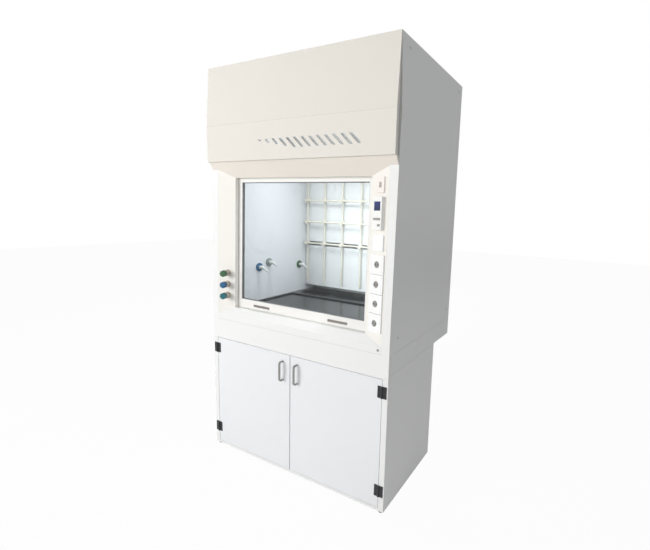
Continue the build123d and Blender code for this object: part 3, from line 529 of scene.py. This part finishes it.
def plate_plastic(name, white, blush):
    """Glossy plastic of the wall plates: white sockets under a cream pink switch plate."""
    plastic = Finish(name)
    cloud = plastic.noise(22.0, detail=3.0)
    shade = plastic.blend(plastic.along("Z") > BLUSH_ABOVE, white, blush)
    return plastic.surface(
        Base_Color=plastic.blend(cloud * 0.08, shade, scaled(white, 0.8)),
        Roughness=0.22 + cloud * 0.08,
        Normal=plastic.bump(plastic.noise(900.0), 0.00002, 0.4))


def outlet_gaps():
    """Depths half-way across the two widest gaps between the outlets' flanges."""
    vertices = NODES["outlet_flanges"].data.vertices
    edges = sorted({round(vertex.co.y, 4) for vertex in vertices})
    gaps = sorted(((high - low, (low + high) / 2) for low, high in zip(edges, edges[1:])),
                  reverse=True)
    if len(gaps) < 2:
        raise RuntimeError("the outlets aren't three separate flanges")
    return sorted(middle for _, middle in gaps[:2])


def dress(material, slot, *names):
    """Give CAD nodes a finish. The slot is not used."""
    for name in names:
        node = NODES[name]
        node.data.materials.clear()
        node.data.materials.append(material)


def ease_edges(width, *names):
    """Round the sharp edges of CAD nodes a little, so that they catch the light."""
    for name in names:
        node = NODES[name]
        node.modifiers.new("Join", "WELD").merge_threshold = 0.00002
        edge = node.modifiers.new("Ease", "BEVEL")
        edge.width = width
        edge.segments = 2
        edge.limit_method = "ANGLE"
        edge.angle_limit = SHARP
        node.modifiers.new("Shade", "WEIGHTED_NORMAL").keep_sharp = True


def skin_loops(mesh, loops):
    """Join a run of loops of vertices with faces, and close both ends."""
    for low, high in zip(loops, loops[1:]):
        for index in range(len(low)):
            after = (index + 1) % len(low)
            mesh.faces.new((low[index], low[after], high[after], high[index]))
    mesh.faces.new(loops[0][::-1])
    mesh.faces.new(loops[-1])


def turned(mesh, matrix, rings, sides=32):
    """Add a turned body to a mesh from rings of (radius, height), with True after for a hexagon."""
    loops = []
    for ring in rings:
        radius, height = ring[:2]
        hexagon = len(ring) > 2
        loop = []
        for index in range(sides):
            angle = 2 * math.pi * index / sides
            turn = (angle + math.pi / 6) % (math.pi / 3) - math.pi / 6
            reach = radius / math.cos(turn) * math.cos(math.pi / 6) if hexagon else radius
            spot = Vector((reach * math.cos(angle), reach * math.sin(angle), height))
            loop.append(mesh.verts.new(matrix @ spot))
        loops.append(loop)
    skin_loops(mesh, loops)


def swept_frame(mesh, matrix, opening, section):
    """Add a ring to a mesh: the (across, depth) points of its section go round an opening."""
    x0, z0, x1, z1 = opening
    corners = ((x0, z0, 1, 1), (x1, z0, -1, 1), (x1, z1, -1, -1), (x0, z1, 1, -1))
    loops = []
    for x, z, inward_x, inward_z in corners:
        loops.append([mesh.verts.new(matrix @ Vector((x + inward_x * across, depth,
                                                      z + inward_z * across)))
                      for across, depth in section])
    for index, loop in enumerate(loops):
        after = loops[(index + 1) % 4]
        for corner in range(len(section)):
            step = (corner + 1) % len(section)
            mesh.faces.new((loop[corner], loop[step], after[step], after[corner]))


def slab(mesh, matrix, low, high):
    """Add a block to a mesh, between two corners."""
    corners = [mesh.verts.new(matrix @ Vector((x, y, z)))
               for x in (low[0], high[0]) for y in (low[1], high[1]) for z in (low[2], high[2])]
    for face in ((0, 1, 3, 2), (4, 6, 7, 5), (0, 4, 5, 1), (2, 3, 7, 6), (0, 2, 6, 4),
                 (1, 5, 7, 3)):
        mesh.faces.new([corners[corner] for corner in face])


def finished(name, mesh, material, body, ease=0.0):
    """Turn a mesh into a piece that rides on a body."""
    bmesh.ops.recalc_face_normals(mesh, faces=mesh.faces)
    data = bpy.data.meshes.new(name)
    mesh.to_mesh(data)
    mesh.free()
    data.polygons.foreach_set("use_smooth", [True] * len(data.polygons))
    data.set_sharp_from_angle(angle=SHARP)
    data.materials.append(material)
    piece = bpy.data.objects.new(name, data)
    bpy.context.scene.collection.objects.link(piece)
    if ease:
        edge = piece.modifiers.new("Ease", "BEVEL")
        edge.width = ease
        edge.segments = 2
        edge.limit_method = "ANGLE"
        edge.angle_limit = SHARP
    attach(piece, body)
    return piece


def box_in_lean(name):
    """Corners of a CAD node along the leaning frame of the sash."""
    back = LEANING.inverted()
    spots = [back @ vertex.co for vertex in NODES[name].data.vertices]
    low = Vector(min(spot[axis] for spot in spots) for axis in range(3))
    high = Vector(max(spot[axis] for spot in spots) for axis in range(3))
    return low, high


def on_right_post(across, height):
    """Frame on the slanted face of the right post: x runs right, z out of the face."""
    run = math.hypot(POST_WIDTH, POST_DEPTH)
    face_x, face_y = POST_WIDTH / run, POST_DEPTH / run
    depth = across * face_y
    rise = (height - LEAN_FOOT.z + depth * math.sin(LEAN)) / math.cos(LEAN)
    origin = (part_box("post_right")[1].x - across * face_x, depth, rise)
    turn = Matrix(((face_x, -face_y, 0), (0, 0, 1), (-face_y, -face_x, 0))).transposed()
    return LEANING @ Matrix.Translation(origin) @ turn.to_4x4()


class HOOD_OT_coat_cabinet(bpy.types.Operator):
    """Coat the panels, doors, posts and fascias"""

    bl_idname = "hood.coat_cabinet"
    bl_label = "Coat the cabinet"

    def execute(self, context):
        paints = context.scene.hood_paints
        coats = (
            # The coats below are one white paint; their different tints are painted light.
            ("Header_Coat_Warm_Light", paints.header, "fascia_paint", ("fascia_lower", "fascia_upper")),
            ("Bevel_Coat_Bounce_Light", paints.bevel, "fascia_paint", ("header_bevel",)),
            ("Surround_Coat_Warm_Light", paints.surround, "panel_paint", ("post_left", "post_right")),
            ("Cabinet_Coat", paints.cabinet, "panel_paint",
             ("side_left", "side_right", "base_side_left", "base_side_right", "base_floor",
              "base_shelf", "base_back", "waist_panels", "back_panel", "top_panel", "apron",
              "sill")),
            # Painted cool light: the doors are a cooler copy of the same white paint.
            ("Door_Coat_Cool_Light", paints.doors, "door_paint", ("door_left", "door_right")),
        )
        for name, shade, slot, nodes in coats:
            coat = powder_coat(name, tuple(shade), paints.sheen, paints.grain)
            dress(coat, slot, *nodes)
        ease_edges(0.0005, "fascia_upper", "header_bevel", "post_left", "post_right", "sill",
                   "base_floor", "back_panel")
        dress(rubber("Foot_Rubber", (0.02, 0.02, 0.021)), "foot_rubber", "levelling_feet")
        dress(moulded("Cap_Plastic", (0.62, 0.63, 0.64), 0.4), "cap_plastic", "side_fixings")
        self.paint_joint_shadows(paints)
        return {"FINISHED"}

    @staticmethod
    def paint_joint_shadows(paints):
        """Painted shadow: thin dark strips over the joints between the two fascias and between the
        sill and the apron.
        """
        lower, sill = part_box("fascia_lower"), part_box("sill")
        half, inset = paints.joint / 2, 0.001
        mesh = bmesh.new()
        for (low, high), z in ((lower, lower[1].z), (sill, sill[0].z)):
            slab(mesh, Matrix(), (low.x + inset, low.y - FILM, z - half),
                 (high.x - inset, low.y + 4 * FILM, z + half))
        finished("joint_shadow_strips", mesh, rubber("Joint_Shadow", (0.42, 0.41, 0.40)), "cabinet")


class HOOD_OT_hang_doors(bpy.types.Operator):
    """Finish the hinges, their screws, the handles and the catches"""

    bl_idname = "hood.hang_doors"
    bl_label = "Hang the doors"

    def execute(self, context):
        fittings = context.scene.hood_fittings
        black = black_coat("Hinge_Black", tuple(fittings.hinge))
        dress(black, "hinge_black", "hinge_stile_leaves", "hinge_leaves_left",
              "hinge_leaves_right")
        dress(brushed("Pin_Steel", (0.5, 0.5, 0.5), 0.35, (400.0, 400.0, 20.0)), "steel",
              "hinge_pins")
        dress(brushed("Handle_Metal", tuple(fittings.handle), 0.4, (900.0, 900.0, 25.0)),
              "handle_metal", "handle_left", "handle_right")
        ease_edges(0.0012, "handle_left", "handle_right")
        dress(moulded("Catch_Plastic", (0.66, 0.66, 0.64), 0.4), "catch_plastic",
              "door_catches")
        screw_steel = brushed("Screw_Steel", tuple(fittings.screw), 0.35, (500.0, 500.0, 500.0))
        for side, word in ((-1, "left"), (1, "right")):
            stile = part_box("hinge_stile_leaves")[1]
            self.drive(f"stile_screws_{word}", side, stile.x - fittings.screw_from_edge,
                       screw_steel, "cabinet", fittings)
            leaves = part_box(f"hinge_leaves_{word}")
            inner = min(abs(leaves[0].x), abs(leaves[1].x))
            self.drive(f"door_screws_{word}", side, inner + fittings.screw_from_edge,
                       screw_steel, f"door_{word}", fittings)
        return {"FINISHED"}

    @staticmethod
    def drive(name, side, x, steel, body, fittings):
        """Two countersunk screws in each of the two leaves on one side."""
        low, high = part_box("hinge_stile_leaves")
        height = hinge_height()
        radius = fittings.screw_radius
        head = ((radius * 0.5, -0.0022), (radius, -0.0006), (radius, 0.0),
                (radius * 0.62, 0.0, True), (radius * 0.55, -0.0010, True))
        mesh = bmesh.new()
        for foot in (low.z, high.z - height):
            for rise in (-0.5, 0.5):
                z = foot + height / 2 + rise * fittings.screw_spacing
                spot = (side * x, FRONT_PLANE - fittings.screw_proud, z)
                turned(mesh, Matrix.Translation(spot) @ FACING_FRONT, head, sides=24)
        finished(name, mesh, steel, body)


def hinge_height():
    """Height of one hinge leaf, from the lower of the two hinges."""
    heights = sorted({round(v.co.z, 4) for v in NODES["hinge_stile_leaves"].data.vertices})
    middle = (heights[0] + heights[-1]) / 2
    return max(z for z in heights if z < middle) - heights[0]


class HOOD_OT_fit_sash(bpy.types.Operator):
    """Glaze the sash, with its gasket, finger cups, tracks and lock"""

    bl_idname = "hood.fit_sash"
    bl_label = "Fit the sash"

    def execute(self, context):
        sash = context.scene.hood_sash
        dress(powder_coat("Sash_Coat", tuple(sash.frame_coat), 0.36, 0.00003), "sash_white",
              "sash_frame")
        dress(clear_glass("Pane_Glass", tuple(sash.tint)), "sash_glass", "sash_glass")
        dress(zinc("Track_Zinc", (0.62, 0.63, 0.64)), "galvanised", "sash_tracks")
        self.seal_pane(sash)
        self.line_pulls(sash)
        self.set_lock(context.scene.hood_fittings)
        return {"FINISHED"}

    @staticmethod
    def seal_pane(sash):
        """Rubber bead on both faces of the pane, round the opening of the frame."""
        low, high = box_in_lean("sash_glass")
        opening = (low.x + GLASS_BITE, low.z + GLASS_BITE, high.x - GLASS_BITE,
                   high.z - GLASS_BITE)
        width = sash.bead_width
        section = ((FILM / 2, FILM), (FILM / 2, 0.0048), (width * 0.35, 0.0052),
                   (width * 0.8, 0.0026), (width, FILM))
        mesh = bmesh.new()
        for face, out in ((low.y, -1), (high.y, 1)):
            swept_frame(mesh, LEANING, opening,
                        [(across, face + out * depth) for across, depth in section])
        finished("pane_gasket", mesh, rubber("Gasket_Rubber", tuple(sash.gasket)), "sash")

    @staticmethod
    def line_pulls(sash):
        """Ribbed cup in each finger pocket of the bottom rail."""
        front = box_in_lean("sash_glass")[0].y - sash.cup_ahead
        foot = box_in_lean("sash_frame")[0].z + sash.cup_rise
        gap = 3 * FILM
        half = sash.cup_width / 2 - gap
        height = sash.cup_height - 2 * gap
        middle = height / 2
        corner = height * 0.42
        floor = sash.cup_depth - 0.0022
        shell = (((1.0, 1.0), sash.cup_depth - gap), ((1.0, 1.0), FILM), ((0.985, 0.90), FILM),
                 ((0.985, 0.90), floor))
        outline = []
        for cx, cz, start in ((half - corner, corner, -90), (half - corner, height - corner, 0),
                              (corner - half, height - corner, 90), (corner - half, corner, 180)):
            for step in range(7):
                angle = math.radians(start + 15 * step)
                outline.append((cx + corner * math.cos(angle), cz + corner * math.sin(angle)))
        span = 2 * (half - corner)
        mesh = bmesh.new()
        for x in (-sash.cup_offset, sash.cup_offset):
            at = LEANING @ Matrix.Translation((x, front, foot + gap))
            skin_loops(mesh, [[mesh.verts.new(at @ Vector((px * across, depth,
                                                           middle + (pz - middle) * upward)))
                               for px, pz in outline] for (across, upward), depth in shell])
            for index in range(sash.ribs):
                rib = span * ((index + 0.5) / sash.ribs - 0.5)
                slab(mesh, at, (rib - 2 * gap, floor - 0.003, 2 * gap),
                     (rib + 2 * gap, floor, height - 2 * gap))
        plastic = moulded("Cup_Plastic", tuple(sash.cup), 0.5)
        finished("pull_cups", mesh, plastic, "sash", ease=0.0003)

    @staticmethod
    def set_lock(fittings):
        """Cam lock in the hole of the sill: a rim, a sunk face and a black block that paints the
        shade of its key slot.
        """
        rim = fittings.lock_radius
        z = (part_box("sill")[0].z + SILL_FOLD) / 2
        matrix = Matrix.Translation((LOCK_ACROSS, FRONT_PLANE, z)) @ FACING_FRONT
        barrel, seat = 0.0046, FILM / 2
        mesh = bmesh.new()
        turned(mesh, matrix, ((barrel, -0.012), (barrel, seat), (rim, seat), (rim, 0.0010),
                              (rim - 0.0008, 0.0018), (rim - 0.0020, 0.0018),
                              (rim - 0.0024, 0.0010)), sides=40)
        chrome = brushed("Lock_Metal", (0.42, 0.41, 0.39), 0.28, (300.0, 300.0, 300.0))
        finished("sill_lock", mesh, chrome, "cabinet")
        # Painted shade: the key slot is a black block standing for the shade inside the slot.
        slot = bmesh.new()
        slab(slot, matrix, (-0.0006, -0.0026, 0.0009), (0.0006, 0.0026, 0.0013))
        finished("lock_slot_shade", slot, rubber("Slot_Painted_Shade", (0.01, 0.01, 0.01)), "cabinet",
                 ease=0.0002)


class HOOD_OT_line_chamber(bpy.types.Operator):
    """Finish the boards, the ceiling lamp, the worktop, the sink and the lattice"""

    bl_idname = "hood.line_chamber"
    bl_label = "Line the chamber"

    def execute(self, context):
        paints = context.scene.hood_paints
        dress(board("Liner_Board", tuple(paints.boards), 0.38), "board_white",
              "chamber_sides", "chamber_ceiling")
        dress(board("Baffle_Board", tuple(paints.baffles), 0.4), "board_white",
              "baffle_lower", "baffle_upper")
        dress(solid_top("Worktop_Grey", tuple(paints.worktop)), "worktop_grey", "worktop")
        dress(moulded("Sink_Black", (0.012, 0.012, 0.013), 0.35), "sink_black", "cup_sink")
        dress(zinc("Bearer_Zinc", (0.55, 0.56, 0.57)), "galvanised", "worktop_bearers")
        dress(ribbed_lens("Lamp_Lens"), "lens_glass", "lamp_lens")
        dress(powder_coat("Lamp_Coat", (0.78, 0.78, 0.76), 0.4, 0.00004), "panel_paint",
              "lamp_housing")
        dress(powder_coat("Lattice_Coat", tuple(context.scene.hood_fittings.lattice), 0.34,
                          0.00003), "lattice_white", "lattice")
        dress(moulded("Duct_Plastic", (0.5, 0.52, 0.54), 0.42), "collar_plastic",
              "exhaust_collar")
        ease_edges(0.0015, "worktop")
        return {"FINISHED"}


class HOOD_OT_fit_services(bpy.types.Operator):
    """Finish the outlets, the valves and the switchgear"""

    bl_idname = "hood.fit_services"
    bl_label = "Fit the services"

    def execute(self, context):
        controls = context.scene.hood_controls
        dress(coded_plastic("Outlet_Plastic", tuple(controls.blue), tuple(controls.slate),
                            tuple(controls.green)), "outlet_colours", "outlet_flanges")
        dress(moulded("Nozzle_Coat", (0.80, 0.82, 0.80), 0.3), "nozzle_white",
              "outlet_nozzles")
        dress(moulded("Bonnet_Plastic", (0.46, 0.41, 0.345), 0.38), "escutcheon_white",
              "escutcheons")
        for word in ("teal", "blue", "green"):
            dress(moulded(f"Knob_{word.title()}", tuple(getattr(controls, word)), 0.3),
                  f"knob_{word}", f"knob_{word}")
        dress(plate_plastic("Plate_White", tuple(controls.plates), tuple(controls.blush)),
              "plate_white", "post_plates")
        self.face_sockets(controls)
        dress(moulded("Rocker_Blush", tuple(controls.rocker), 0.3), "rocker_white",
              "switch_rocker")
        dress(moulded("Controller_White", tuple(controls.case), 0.3), "case_white",
              "controller_case")
        dress(display("Display_Blue", tuple(controls.screen)), "screen_blue",
              "controller_screen")
        dress(moulded("Button_Dark", tuple(controls.buttons), 0.4), "button_grey",
              "controller_bar", "controller_key")
        return {"FINISHED"}


    @staticmethod
    def face_sockets(controls):
        """Grey disc that paints the shade of each socket plate's sunk face, with two black discs
        that paint the shade in its pin holes.
        """
        faces, holes = bmesh.new(), bmesh.new()
        radius = controls.socket_radius
        for height in SOCKET_HEIGHTS:
            plate = on_right_post(CONTROLS_ACROSS, height)
            floor = plate @ Matrix.Translation((0, 0, SOCKET_FLOOR))
            # Painted shade: the grey disc stands for the shade inside the sunk face, and the black
            # discs for the shade in the pin holes.
            turned(faces, floor, ((radius, FILM), (radius, 0.0012), (radius - 0.0012, 0.0018)))
            for side in (-0.5, 0.5):
                at = floor @ Matrix.Translation((side * controls.pin_spacing, 0, 0.0017))
                turned(holes, at, ((0.0028, 0.0), (0.0028, 0.0004)), sides=20)
        finished("socket_face_shades", faces, moulded("Socket_Shade_Grey", tuple(controls.socket), 0.35),
                 "cabinet")
        finished("socket_hole_shades", holes, rubber("Hole_Painted_Shade", (0.01, 0.01, 0.01)), "cabinet")


class HOOD_OT_hang_balance(bpy.types.Operator):
    """Finish the cross shaft, the ropes and the weights of the sash"""

    bl_idname = "hood.hang_balance"
    bl_label = "Hang the balance"

    def execute(self, context):
        dress(wire_rope("Rope_Steel"), "steel", "rope_front", "rope_bends", "rope_rear")
        dress(brushed("Shaft_Steel", (0.5, 0.5, 0.5), 0.32, (20.0, 500.0, 500.0)), "steel",
              "pulley_shaft")
        dress(zinc("Bracket_Zinc", (0.55, 0.56, 0.57)), "galvanised", "shaft_brackets")
        dress(cast_iron("Weight_Iron"), "weight_iron", "counterweights")
        return {"FINISHED"}


class HOOD_OT_set_stage(bpy.types.Operator):
    """Set the camera, the lamps, the even light all round and the floor"""

    bl_idname = "hood.set_stage"
    bl_label = "Set the stage"

    def execute(self, context):
        stage = context.scene.hood_stage
        context.scene.view_settings.view_transform = "Standard"
        self.set_camera(context, stage)
        self.set_sky(context, stage)
        self.lay_floor(context, stage)
        for name, power, part, place, target, size, spread in LAMPS:
            self.hang_lamp(name, place, target, size, getattr(stage, power) * part, spread)
        return {"FINISHED"}

    @staticmethod
    def set_camera(context, stage):
        """Camera at the place that the photograph was taken from."""
        camera = bpy.data.objects.new("Camera", bpy.data.cameras.new("Camera"))
        context.scene.collection.objects.link(camera)
        camera.data.sensor_width = 36.0
        camera.data.lens = stage.lens
        camera.data.shift_x = stage.shift_x
        camera.data.shift_y = stage.shift_y
        turn = Matrix((CAMERA_RIGHT, CAMERA_UP, -CAMERA_AHEAD)).transposed().to_4x4()
        camera.matrix_world = Matrix.Translation(CAMERA_PLACE) @ turn
        context.scene.camera = camera

    @staticmethod
    def seen_plain(finish):
        """1 for rays that show the background: seen straight, mirrored or through glass."""
        straight, mirrored, through = (
            finish.add("ShaderNodeLightPath", output=name)
            for name in ("Is Camera Ray", "Is Glossy Ray", "Is Transmission Ray"))
        return straight.larger(mirrored).larger(through)

    def set_sky(self, context, stage):
        """Soft even light from all round, seen as white."""
        context.scene.world = context.scene.world or bpy.data.worlds.new("Sky")
        sky = Finish("Sky", context.scene.world)
        soft = sky.add("ShaderNodeBackground", values={"Color": (0.95, 0.97, 1.0, 1.0),
                                                       "Strength": stage.sky})
        white = sky.add("ShaderNodeBackground", values={"Color": (1.0, 1.0, 1.0, 1.0),
                                                        "Strength": 1.0})
        mixed = sky.add("ShaderNodeMixShader",
                        values={0: self.seen_plain(sky), 1: soft, 2: white})
        sky.add("ShaderNodeOutputWorld", values={"Surface": mixed})

    def lay_floor(self, context, stage):
        """Wide pale floor that keeps a faint shadow."""
        paper = Finish("Floor_Paper")
        fibre = paper.noise(40.0, detail=4.0)
        matt = paper.shader(Base_Color=paper.blend(fibre, (0.70, 0.70, 0.70), (0.74, 0.74, 0.74)),
                            Roughness=0.95)
        plain = paper.add("ShaderNodeEmission", values={"Color": (1.0, 1.0, 1.0, 1.0),
                                                        "Strength": 1.0})
        mixed = paper.add("ShaderNodeMixShader",
                          values={0: self.seen_plain(paper) * stage.paper, 1: matt, 2: plain})
        paper.add("ShaderNodeOutputMaterial", values={"Surface": mixed})
        mesh = bmesh.new()
        bmesh.ops.create_grid(mesh, x_segments=8, y_segments=8, size=14.0)
        data = bpy.data.meshes.new("Floor")
        mesh.to_mesh(data)
        mesh.free()
        data.materials.append(paper.owner)
        floor = bpy.data.objects.new("Floor", data)
        context.scene.collection.objects.link(floor)
        floor.location.z = CAD_BOX[0].z - 0.0005

    @staticmethod
    def hang_lamp(name, place, target, size, power, spread):
        """Rectangular lamp that faces a point, and that the pane and the worktop don't mirror."""
        lamp = bpy.data.lights.new(name, "AREA")
        lamp.shape = "RECTANGLE"
        lamp.size, lamp.size_y = size
        lamp.energy = power
        lamp.spread = math.radians(spread)
        holder = bpy.data.objects.new(name, lamp)
        bpy.context.scene.collection.objects.link(holder)
        holder.location = place
        holder.visible_glossy = False
        aim = Vector(target) - Vector(place)
        holder.rotation_euler = aim.to_track_quat("-Z", "Y").to_euler()


class HOOD_PT_panel(bpy.types.Panel):
    """The hood's finishes and stage in the 3D view's sidebar"""

    bl_idname = "HOOD_PT_panel"
    bl_label = "Fume Hood"
    bl_space_type = "VIEW_3D"
    bl_region_type = "UI"
    bl_category = "Fume Hood"

    def draw(self, context):
        for operator in OPERATORS:
            self.layout.operator(operator.bl_idname)


GROUPS = {"hood_paints": HoodPaints, "hood_sash": HoodSash, "hood_fittings": HoodFittings,
          "hood_controls": HoodControls, "hood_stage": HoodStage}
OPERATORS = (HOOD_OT_coat_cabinet, HOOD_OT_hang_doors, HOOD_OT_fit_sash, HOOD_OT_line_chamber,
             HOOD_OT_fit_services, HOOD_OT_hang_balance, HOOD_OT_set_stage)


def register():
    """Register the classes and hang the property groups on the scene."""
    for each in (*GROUPS.values(), *OPERATORS, HOOD_PT_panel):
        bpy.utils.register_class(each)
    for name, group in GROUPS.items():
        setattr(bpy.types.Scene, name, PointerProperty(type=group))


def unregister():
    """Take the property groups and classes away again."""
    for name in GROUPS:
        delattr(bpy.types.Scene, name)
    for each in (HOOD_PT_panel, *OPERATORS[::-1], *tuple(GROUPS.values())[::-1]):
        bpy.utils.unregister_class(each)


def main():
    """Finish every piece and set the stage."""
    register()
    bpy.ops.hood.coat_cabinet()
    bpy.ops.hood.hang_doors()
    bpy.ops.hood.fit_sash()
    bpy.ops.hood.line_chamber()
    bpy.ops.hood.fit_services()
    bpy.ops.hood.hang_balance()
    bpy.ops.hood.set_stage()


if __name__ == "__main__":
    main()
